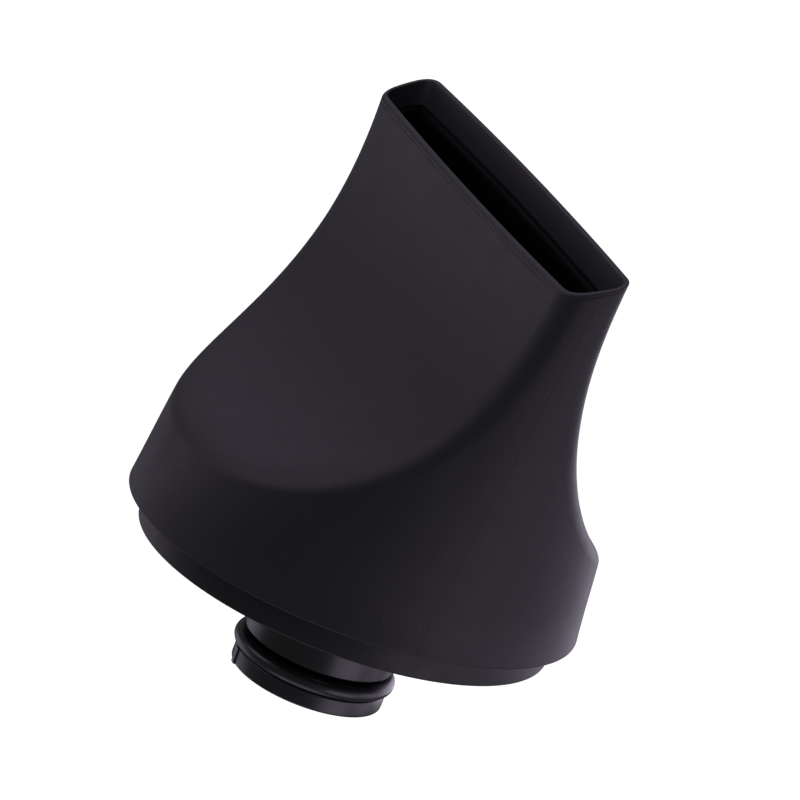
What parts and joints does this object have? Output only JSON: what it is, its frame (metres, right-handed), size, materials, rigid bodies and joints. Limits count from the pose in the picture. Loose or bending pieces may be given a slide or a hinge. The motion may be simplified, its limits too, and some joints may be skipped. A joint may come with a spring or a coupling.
{
  "type": "hair dryer concentrator nozzle",
  "caption": "Concentrator nozzle for a hair dryer with a ring-shaped outlet: round base, scooped faces, slanted flat slot mouth, inlet ring and sealed central plug.",
  "frame": {"origin": "centre of the flat end of the plug, at the nozzle's lowest point", "axes": "+Z along the nozzle's axis from the plug to the slot mouth, X along the slot, -Y towards the mouth's lower lip"},
  "size_m": [0.095, 0.078, 0.0931],
  "materials": {
    "soft_touch_shell": "soft-touch black, very slightly purple",
    "black_plastic": "fine matte black moulding",
    "satin_black_plastic": "satin black moulding",
    "duct_plastic": "smooth heat-resistant black",
    "black_rubber": "smooth black rubber",
    "magnet_metal": "nickel-plated",
    "screw_steel": "plated steel"
  },
  "bodies": {
    "root": {"outer_shell": "soft_touch_shell", "inlet_ring": "black_plastic", "core_plug": "satin_black_plastic", "plug_end_cap": "satin_black_plastic", "plug_o_ring": "black_rubber", "hub_spider": "black_plastic", "flow_cone": "duct_plastic", "inner_duct": "duct_plastic", "duct_gasket": "black_rubber", "magnet_carrier": "black_plastic", "retaining_magnets": "magnet_metal", "carrier_screws": "screw_steel", "plug_screw": "screw_steel"}
  },
  "joints": []
}
